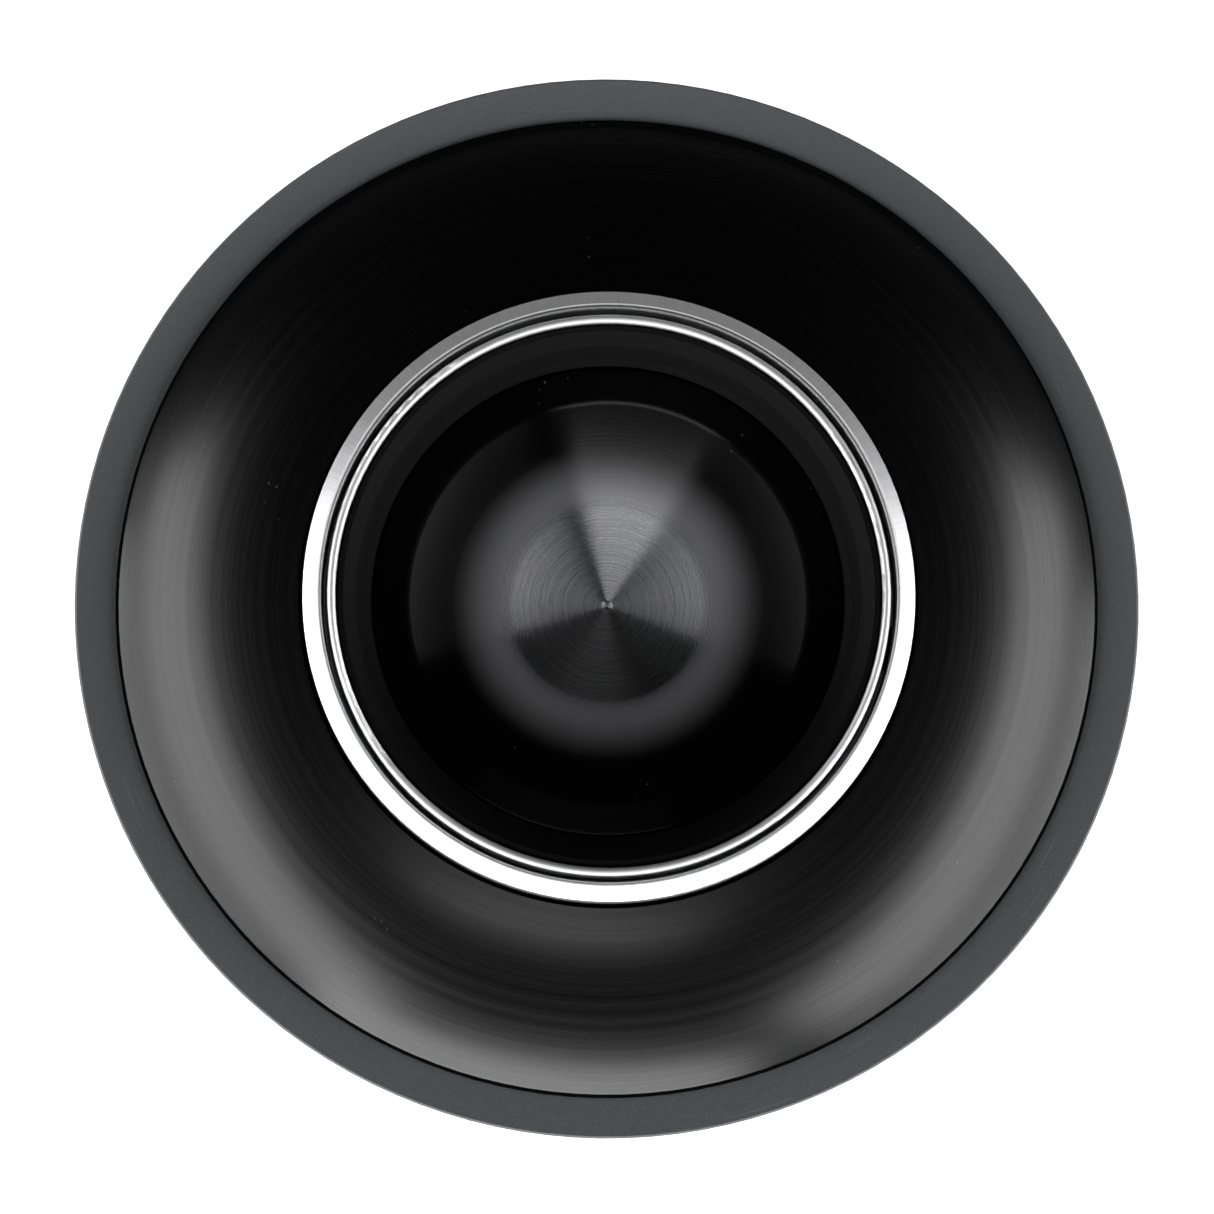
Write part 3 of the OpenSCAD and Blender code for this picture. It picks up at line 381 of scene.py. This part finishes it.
class CircularScuffs(Effect):
    """Thin broken scratches that run round the axis."""

    name = "circular_scuffs"
    inputs = {"Density": (Kind.VALUE, 1.0)}
    outputs = {"Mask": Kind.VALUE}

    @classmethod
    def build(cls, graph: Graph, given: bpy.types.NodeOutputs) -> dict[str, object]:
        """Noise stretched round the circle, kept only at its peaks, in broken lengths."""
        radius, angle, height = graph.polar()
        swirl = graph.math("SINE", graph.math("MULTIPLY", angle, math.tau))
        swell = graph.math("COSINE", graph.math("MULTIPLY", angle, math.tau))
        depth = graph.math("MULTIPLY", graph.math("ADD", radius, height), 2600.0)
        lines = graph.noise(graph.vector(graph.math("MULTIPLY", swirl, 2.0), graph.math("MULTIPLY", swell, 2.0), depth), 1.0, 2.0)
        lengths = graph.noise(graph.vector(graph.math("MULTIPLY", swirl, 6.0), graph.math("MULTIPLY", swell, 6.0), graph.math("MULTIPLY", depth, 0.05)), 1.0, 2.0)
        thin = graph.remap(lines, 0.63, 0.72)
        broken = graph.remap(lengths, 0.5, 0.62)
        return {"Mask": graph.math("MULTIPLY", graph.math("MULTIPLY", thin, broken), given["Density"], clamp=True)}


class RadialBrush(Effect):
    """Fine streaks across a ring, as from facing or brushing towards the axis."""

    name = "radial_brush"
    inputs = {"Streaks per turn": (Kind.VALUE, 900.0)}
    outputs = {"Streak": Kind.VALUE}

    @classmethod
    def build(cls, graph: Graph, given: bpy.types.NodeOutputs) -> dict[str, object]:
        """Noise that changes quickly round the circle and slowly across it."""
        radius, angle, height = graph.polar()
        turn = graph.math("MULTIPLY", angle, given["Streaks per turn"])
        across = graph.math("MULTIPLY", graph.math("ADD", radius, height), 150.0)
        return {"Streak": graph.noise(graph.vector(turn, across, 0.0), 1.0, 3.0, 0.7)}


class SurfaceGrain(Effect):
    """Pores and soft unevenness of a cast, moulded or sintered surface."""

    name = "surface_grain"
    inputs = {"Scale": (Kind.VALUE, 900.0), "Stretch": (Kind.VALUE, 1.0)}
    outputs = {"Height": Kind.VALUE, "Patches": Kind.VALUE}

    @classmethod
    def build(cls, graph: Graph, given: bpy.types.NodeOutputs) -> dict[str, object]:
        """A fine noise that can be stretched along Z, and slow patches."""
        place = graph.node("ShaderNodeTexCoord").outputs["Object"]
        x, y, z = graph.node("ShaderNodeSeparateXYZ", Vector=place).outputs
        stretched = graph.vector(x, y, graph.math("DIVIDE", z, given["Stretch"]))
        fine = graph.node("ShaderNodeTexNoise", Vector=stretched, Scale=given["Scale"], Detail=4.0, Roughness=0.65)
        return {"Height": fine.outputs[0], "Patches": graph.noise(place, 30.0, 3.0)}


class Dust(Effect):
    """Sparse specks of dust and lint."""

    name = "dust"
    inputs = {"Amount": (Kind.VALUE, 0.4)}
    outputs = {"Mask": Kind.VALUE}

    @classmethod
    def build(cls, graph: Graph, given: bpy.types.NodeOutputs) -> dict[str, object]:
        """Small cells near their centres, thinned out by a slow noise."""
        place = graph.node("ShaderNodeTexCoord").outputs["Object"]
        cells = graph.node("ShaderNodeTexVoronoi", Vector=place, Scale=420.0)
        specks = graph.remap(cells.outputs["Distance"], 0.13, 0.05)
        chosen = graph.remap(graph.noise(place, 90.0, 2.0), 0.6, 0.68)
        return {"Mask": graph.math("MULTIPLY", graph.math("MULTIPLY", specks, chosen), given["Amount"], clamp=True)}


# ---------------------------------------------------------------------------------------------
# Finishes
# ---------------------------------------------------------------------------------------------


class Texture(Enum):
    """The relief that a finish carries."""

    TURNED = "turned"
    SPECKLED = "speckled"
    POLISHED = "polished"
    BRUSHED = "brushed"
    CAST = "cast"
    MOULDED = "moulded"
    PORES = "pores"
    LAMINATED = "laminated"
    WOUND = "wound"


@dataclass(frozen=True)
class Finish:
    """One finish: the numbers of its principled shader and the relief that it carries."""

    name: str
    colour: tuple[float, float, float]
    roughness: float
    texture: Texture
    metallic: float = 0.0
    relief: float = 0.1
    variation: float = 0.06
    specular: float = 0.5
    grain_scale: float = 900.0
    wear: float = 0.0
    dust: float = 0.0
    anisotropy: float = 0.0
    coat: float = 0.0
    bright_inside: tuple[float, float] | None = None
    bright_colour: tuple[float, float, float] = (0.2, 0.2, 0.21)

    def material(self) -> bpy.types.Material:
        """The finish's material, built the first time that it is asked for."""
        label = f"{self.name}_finish"
        found = bpy.data.materials.get(label)
        if found is not None:
            return found
        made = bpy.data.materials.new(label)
        made.use_nodes = True
        made.diffuse_color = (*self.colour, 1.0)
        graph = Graph(made.node_tree)
        shader = made.node_tree.nodes["Principled BSDF"]
        shader.inputs["Metallic"].default_value = self.metallic
        shader.inputs["Specular IOR Level"].default_value = self.specular
        shader.inputs["Coat Weight"].default_value = self.coat
        shader.inputs["Coat Roughness"].default_value = 0.08
        height, tone = self._relief(graph)
        colour = graph.mix(tone, self._shade(1 - self.variation), self._shade(1 + self.variation))
        rough = graph.remap(tone, 0.0, 1.0, self.roughness * 0.88, self.roughness * 1.12)
        if self.wear > 0:
            scuffs = CircularScuffs.use(graph, Density=self.wear)["Mask"]
            colour = graph.mix(scuffs, colour, self._shade(1.0, 0.12))
            rough = graph.math("ADD", rough, graph.math("MULTIPLY", scuffs, 0.15))
        if self.dust > 0:
            specks = Dust.use(graph, Amount=self.dust)["Mask"]
            colour = graph.mix(specks, colour, (0.45, 0.44, 0.42, 1.0))
        if self.bright_inside is not None:
            radius, _, _ = graph.polar()
            inner, outer = self.bright_inside
            core = graph.math("POWER", graph.remap(radius, outer, inner), 2.0)
            colour = graph.mix(core, colour, (*self.bright_colour, 1.0))
            rough = graph.math("MULTIPLY", rough, graph.remap(core, 0.0, 1.0, 0.6, 1.0))
            graph.feed(shader, "Metallic", core)
        graph.feed(shader, "Base Color", colour)
        graph.feed(shader, "Roughness", rough)
        bump = graph.node("ShaderNodeBump", Strength=self.relief, Distance=0.0002, Height=height)
        graph.feed(shader, "Normal", bump.outputs[0])
        if self.anisotropy > 0:
            shader.inputs["Anisotropic"].default_value = self.anisotropy
            graph.feed(shader, "Tangent", self._tangent(graph))
        return made

    def _shade(self, factor: float, add: float = 0.0) -> tuple[float, float, float, float]:
        """The finish's colour made lighter or darker."""
        return tuple(min(1.0, c * factor + add) for c in self.colour) + (1.0,)

    @staticmethod
    def _tangent(graph: Graph) -> bpy.types.NodeSocket:
        """The direction away from the axis at the shaded point, across the turning marks."""
        place = graph.node("ShaderNodeTexCoord").outputs["Object"]
        flat = graph.node("ShaderNodeVectorMath", {"operation": "MULTIPLY"})
        flat.inputs[1].default_value = (1.0, 1.0, 0.0)
        graph.tree.links.new(place, flat.inputs[0])
        unit = graph.node("ShaderNodeVectorMath", {"operation": "NORMALIZE"})
        graph.tree.links.new(flat.outputs[0], unit.inputs[0])
        return unit.outputs[0]

    def _relief(self, graph: Graph) -> tuple[bpy.types.NodeSocket, bpy.types.NodeSocket]:
        """The finish's height and the tone that varies its colour and roughness."""
        if self.texture is Texture.TURNED:
            marks = TurningMarks.use(graph, Rings_per_metre=self.grain_scale)
            return marks["Height"], marks["Mask"]
        if self.texture is Texture.SPECKLED:
            grains = Speckle.use(graph, Scale=self.grain_scale)
            return grains["Grain"], graph.remap(grains["Grain"], 0.3, 0.7)
        if self.texture is Texture.BRUSHED:
            streaks = RadialBrush.use(graph, Streaks_per_turn=self.grain_scale)
            return streaks["Streak"], graph.remap(streaks["Streak"], 0.3, 0.7)
        stretch = {Texture.LAMINATED: 0.02, Texture.WOUND: 0.05}.get(self.texture, 1.0)
        grain = SurfaceGrain.use(graph, Scale=self.grain_scale, Stretch=stretch)
        return grain["Height"], grain["Patches"]


TURNED_BLACK = Finish("turned_black", (0.001, 0.001, 0.0012), 0.28, Texture.TURNED, relief=0.1,
                      grain_scale=2200.0, specular=0.32, anisotropy=0.95, dust=0.2, variation=0.2,
                      bright_inside=(0.019, 0.032), bright_colour=(0.42, 0.42, 0.44))
GUARD_RUBBER = Finish("guard_rubber", (0.0008, 0.0008, 0.0008), 0.62, Texture.MOULDED, relief=0.05, specular=0.15)
BLACK_RUBBER = Finish("black_rubber", (0.012, 0.012, 0.012), 0.62, Texture.MOULDED, relief=0.12, specular=0.35)
GLOSS_BLACK = Finish("gloss_black", (0.0008, 0.0008, 0.001), 0.27, Texture.TURNED, relief=0.02,
                     grain_scale=700.0, specular=0.5, dust=0.12, variation=0.1)
CHARCOAL = Finish("charcoal", (0.07, 0.074, 0.082), 0.62, Texture.SPECKLED, relief=0.3, grain_scale=2400.0,
                  specular=1.0, wear=0.6, dust=0.15, variation=0.35)
SATIN_ALUMINIUM = Finish("satin_aluminium", (0.82, 0.82, 0.83), 0.38, Texture.BRUSHED, metallic=1.0,
                         relief=0.08, grain_scale=1400.0, variation=0.08)
POLISHED_STEEL = Finish("polished_steel", (0.86, 0.86, 0.86), 0.56, Texture.POLISHED, metallic=1.0, relief=0.02)
CUT_STEEL = Finish("cut_steel", (0.62, 0.62, 0.64), 0.3, Texture.TURNED, metallic=1.0, relief=0.12, grain_scale=1200.0)
SPRING_STEEL = Finish("spring_steel", (0.5, 0.5, 0.52), 0.22, Texture.POLISHED, metallic=1.0, relief=0.05)
ZINC = Finish("zinc_plate", (0.66, 0.67, 0.7), 0.32, Texture.POLISHED, metallic=1.0, relief=0.08, variation=0.1)
CAST_ALUMINIUM = Finish("cast_aluminium", (0.5, 0.51, 0.53), 0.52, Texture.CAST, metallic=0.9, relief=0.6, variation=0.12)
SINTERED_BRONZE = Finish("sintered_bronze", (0.55, 0.34, 0.16), 0.42, Texture.PORES, metallic=1.0, relief=0.4, grain_scale=2500.0)
LAMINATIONS = Finish("laminations", (0.28, 0.28, 0.3), 0.4, Texture.LAMINATED, metallic=0.9, relief=0.6, grain_scale=60.0, variation=0.2)
COPPER = Finish("enamelled_copper", (0.55, 0.2, 0.07), 0.28, Texture.WOUND, metallic=0.85, relief=0.8, grain_scale=90.0, variation=0.25)
BAND_PAINT = Finish("band_paint", (0.035, 0.038, 0.042), 0.4, Texture.MOULDED, relief=0.15, variation=0.1)
COVER_PAINT = Finish("cover_paint", (0.012, 0.012, 0.013), 0.45, Texture.MOULDED, relief=0.3, grain_scale=1600.0, dust=0.2)
BLACK_PLASTIC = Finish("black_plastic", (0.012, 0.012, 0.013), 0.38, Texture.MOULDED, relief=0.15, grain_scale=1500.0)
PHENOLIC = Finish("phenolic", (0.28, 0.15, 0.06), 0.45, Texture.MOULDED, relief=0.2, variation=0.15)
CREAM_PLASTIC = Finish("cream_plastic", (0.7, 0.66, 0.56), 0.4, Texture.MOULDED, relief=0.1)
RED_PLASTIC = Finish("red_plastic", (0.55, 0.012, 0.008), 0.25, Texture.MOULDED, relief=0.05, coat=0.3)
BRASS = Finish("brass", (0.78, 0.55, 0.2), 0.25, Texture.POLISHED, metallic=1.0, relief=0.06)
GREEN_PAINT = Finish("green_paint", (0.02, 0.22, 0.05), 0.35, Texture.MOULDED, relief=0.1)
FOAM = Finish("sound_foam", (0.12, 0.12, 0.125), 0.95, Texture.PORES, relief=1.0, grain_scale=700.0, variation=0.3, specular=0.1)
FLOOR = Finish("studio_floor", (0.88, 0.88, 0.88), 0.8, Texture.MOULDED, relief=0.01, variation=0.004, specular=0.1)


def paint(piece: bpy.types.Object, finish: Finish) -> bpy.types.Object:
    """Gives a piece its finish as its only material."""
    piece.data.materials.clear()
    piece.data.materials.append(finish.material())
    return piece


# ---------------------------------------------------------------------------------------------
# Sub-assemblies
# ---------------------------------------------------------------------------------------------


def span(node: str) -> tuple[Vector, Vector]:
    """Lowest and highest corner of a CAD node."""
    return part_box(node)


def outer_radius(node: str) -> float:
    """Outside radius of a round CAD node, from its width along X."""
    low, high = span(node)
    return (high.x - low.x) / 2


@dataclass
class SubAssembly:
    """A group of CAD nodes with a finish each, and the pieces that are made anew for them."""

    finishes: dict[str, Finish] = field(default_factory=dict)

    def build(self) -> int:
        """Paints the CAD nodes and adds the new pieces; returns how many pieces it handled."""
        for node, finish in self.finishes.items():
            paint(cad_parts[node], finish)
        return len(self.finishes) + self.make()

    def make(self) -> int:
        """Adds the new pieces, none by default."""
        return 0

    def stand_in(self, piece: bpy.types.Object, node: str, body: str, slot: str, finish: Finish) -> None:
        """Puts a new piece in place of a CAD node."""
        paint(piece, finish)
        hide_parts(node)
        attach(piece, body)


@dataclass
class StopperAssembly(SubAssembly):
    """The dished stopper with its flared centre, and its sealing ring."""

    flange_t: float = 1.8 * MM
    flange_w: float = 6.7 * MM
    plug_r: float = 40.0 * MM
    bowl_depth: float = 6.6 * MM
    cone_r: float = 19.0 * MM
    cone_tilt: float = 8.0
    cone_rim_tilt: float = 15.5
    dimple_r: float = 1.2 * MM
    groove: float = 1.3 * MM

    def make(self) -> int:
        """Turns the stopper."""
        low, high = span("stopper")
        seal_low, seal_high = span("stopper_seal")
        rim, bowl = outer_radius("stopper"), outer_radius("stopper") - self.flange_w
        cone_rim = high.z - self.bowl_depth
        centre = (bowl**2 - self.cone_r**2) / (2 * self.bowl_depth) + (high.z + cone_rim) / 2
        sphere = math.hypot(self.cone_r, centre - cone_rim)
        seal_z = (seal_low.z + seal_high.z) / 2
        tilt, rim_tilt = math.radians(self.cone_tilt), math.radians(self.cone_rim_tilt)
        flare = (self.cone_r - self.dimple_r) / (math.sin(rim_tilt) - math.sin(tilt))
        flare_z = cone_rim + flare * math.cos(rim_tilt)
        angle = [math.degrees(math.atan2(z - centre, r)) for r, z in ((bowl, high.z), (self.cone_r, cone_rim))]
        outline = Profile([
            Corner(0.0, low.z),
            Corner(self.plug_r, low.z, 0.8 * MM),
            Corner(self.plug_r, seal_z - self.groove, 0.1 * MM),
            Corner(self.plug_r - self.groove, seal_z, 0.6 * MM),
            Corner(self.plug_r, seal_z + self.groove, 0.1 * MM),
            Corner(self.plug_r, high.z - self.flange_t, 0.2 * MM),
            Corner(rim, high.z - self.flange_t, 0.4 * MM),
            Corner(rim, high.z, 0.5 * MM),
            Corner(bowl + 0.7 * MM, high.z, 0.5 * MM),
            Arc(0.0, centre, sphere, angle[0], angle[1]),
            Arc(self.cone_r - flare * math.sin(rim_tilt), flare_z, flare, self.cone_rim_tilt - 90, self.cone_tilt - 90),
            Corner(0.0, flare_z - flare * math.cos(tilt) - self.dimple_r),
        ], step=0.8 * MM)
        piece = turned("stopper_turned", outline)
        self.stand_in(piece, "stopper", "stopper_assembly", "turned_black", TURNED_BLACK)
        return 1


@dataclass
class Studio:
    """Floor, lights and camera. None of it belongs to the object."""

    floor_size: float = 30.0
    distance: float = 2.0
    tilt: float = 5.55
    roll: float = 10.0
    frame_half: float = 0.11985
    aim_height: float = 0.292
    floor_glow: float = 0.6

    def build(self) -> None:
        """Adds the floor, the lights and the camera."""
        self._floor()
        self._lights()
        self._camera()

    def _floor(self) -> None:
        """A large pale floor at the object's base."""
        mesh = bmesh.new()
        bmesh.ops.create_grid(mesh, x_segments=1, y_segments=1, size=self.floor_size / 2)
        floor = as_object("studio_floor", mesh)
        paint(floor, FLOOR)
        shader = FLOOR.material().node_tree.nodes["Principled BSDF"]
        shader.inputs["Emission Color"].default_value = (1.0, 1.0, 1.0, 1.0)
        shader.inputs["Emission Strength"].default_value = self.floor_glow

    def softbox(self, name: str, azimuth: float, elevation: float, distance: float, width: float, height: float, glow: float) -> None:
        """One rectangular softbox aimed at the top of the object.

        Args:
            name: The light's name.
            azimuth: Direction of the light seen from the object, in degrees from +X.
            elevation: Its height above the horizon, in degrees.
            distance: Its distance in metres.
            width: Its width in metres.
            height: Its height in metres.
            glow: The radiance of its face.
        """
        data = bpy.data.lights.new(name, "AREA")
        data.shape, data.size, data.size_y = "RECTANGLE", width, height
        data.energy = glow * math.pi * width * height
        light = bpy.data.objects.new(name, data)
        a, e = math.radians(azimuth), math.radians(elevation)
        towards = Vector((math.cos(a) * math.cos(e), math.sin(a) * math.cos(e), math.sin(e)))
        _, top = span("grind_chamber")
        light.location = Vector((0.0, 0.0, top.z)) + towards * distance
        light.rotation_mode = "QUATERNION"
        light.rotation_quaternion = towards.to_track_quat("Z", "Y")
        bpy.context.scene.collection.objects.link(light)

    def _lights(self) -> None:
        """Softboxes to the left, to the right and in front, and a weak fill."""
        self.softbox("left_box", 206.0, 27.0, 1.4, 2.2, 0.5, 5.0)
        self.softbox("right_box", -10.0, 27.0, 1.4, 2.2, 0.5, 5.0)
        self.softbox("left_strip", 204.0, 6.0, 1.7, 1.8, 0.22, 7.0)
        self.softbox("right_strip", -12.0, 6.0, 1.7, 1.8, 0.22, 7.0)
        self.softbox("front_box", 270.0, 13.0, 1.6, 1.7, 0.45, 7.0)
        self.softbox("front_fill", 270.0, 66.0, 1.6, 0.7, 0.3, 2.6)
        world = bpy.data.worlds.new("studio")
        world.use_nodes = True
        world.node_tree.nodes["Background"].inputs["Color"].default_value = (1.0, 1.0, 1.0, 1.0)
        world.node_tree.nodes["Background"].inputs["Strength"].default_value = 0.006
        bpy.context.scene.world = world

    def _camera(self) -> None:
        """A long lens almost straight above, tilted towards the front."""
        target = Vector((0.0, 0.0, self.aim_height))
        tilt = math.radians(self.tilt)
        back = Vector((0.0, -math.sin(tilt), math.cos(tilt)))
        data = bpy.data.cameras.new("main_camera")
        data.sensor_width = 36.0
        data.lens = data.sensor_width / 2 / (self.frame_half / self.distance)
        data.clip_end = 100.0
        camera = bpy.data.objects.new("main_camera", data)
        camera.location = target + back * self.distance
        camera.rotation_mode = "QUATERNION"
        turn = Matrix.Rotation(math.radians(self.roll), 4, back)
        camera.rotation_quaternion = (turn @ back.to_track_quat("Z", "Y").to_matrix().to_4x4()).to_quaternion()
        bpy.context.scene.collection.objects.link(camera)
        bpy.context.scene.camera = camera
        scene = bpy.context.scene
        scene.view_settings.view_transform = "Standard"


def sub_assemblies() -> dict[str, SubAssembly]:
    """Every sub-assembly in the order in which it is built."""
    return {
        "stopper": StopperAssembly({"stopper_seal": BLACK_RUBBER}),
        "splash guard": SubAssembly({"splash_guard": GUARD_RUBBER}),
        "mounting ring": SubAssembly({"lock_ring": SATIN_ALUMINIUM, "snap_ring": SPRING_STEEL, "mount_cushion": BLACK_RUBBER}),
        "casing": SubAssembly({"upper_shell": GLOSS_BLACK, "rim_shell": CHARCOAL, "lower_shell": CHARCOAL, "sound_jacket": FOAM,
                          "bottom_cover": COVER_PAINT, "cover_screws": ZINC, "cable_bushing": BLACK_PLASTIC}),
        "grinding": SubAssembly({"grind_chamber": POLISHED_STEEL, "chamber_gasket": BLACK_RUBBER, "chamber_screws": ZINC,
                                 "shredder_ring": CUT_STEEL, "turntable": CUT_STEEL, "impeller_left": CUT_STEEL,
                                 "impeller_right": CUT_STEEL, "impeller_rivets": ZINC, "turntable_nut": ZINC,
                                 "slinger": BLACK_RUBBER, "shaft_seal": BLACK_RUBBER}),
        "outlets": SubAssembly({"end_bell": CAST_ALUMINIUM, "drain_chamber": CAST_ALUMINIUM, "discharge_gasket": BLACK_RUBBER, "discharge_flange": ZINC,
                                "discharge_tube": BLACK_PLASTIC, "discharge_bolts": ZINC, "dishwasher_inlet": BLACK_PLASTIC,
                                "inlet_knockout": BLACK_PLASTIC}),
        "motor": SubAssembly({"upper_bearing": SINTERED_BRONZE, "lower_bearing": SINTERED_BRONZE, "motor_shaft": SPRING_STEEL,
                              "rotor_core": LAMINATIONS, "rotor_fan_cage": CAST_ALUMINIUM, "stator_core": LAMINATIONS,
                              "upper_windings": COPPER, "lower_windings": COPPER, "motor_band": BAND_PAINT,
                              "lower_end_frame": CAST_ALUMINIUM, "through_bolts": ZINC, "governor_hub": PHENOLIC,
                              "governor_collar": PHENOLIC, "start_switch": PHENOLIC}),
        "wiring bay": SubAssembly({"start_capacitor": BLACK_PLASTIC, "capacitor_clip": ZINC, "overload_protector": BLACK_PLASTIC,
                                   "reset_button": RED_PLASTIC, "reset_spring": SPRING_STEEL, "terminal_block": CREAM_PLASTIC,
                                   "terminal_screws": BRASS, "ground_screw": GREEN_PAINT}),
    }


def main() -> None:
    """Builds the sub-assemblies and the studio in order."""
    logging.basicConfig(level=logging.INFO, format="%(name)s: %(message)s")
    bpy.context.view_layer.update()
    for name, assembly in sub_assemblies().items():
        LOG.info("%s: %d pieces", name, assembly.build())
    Studio().build()


if __name__ == "__main__":
    main()
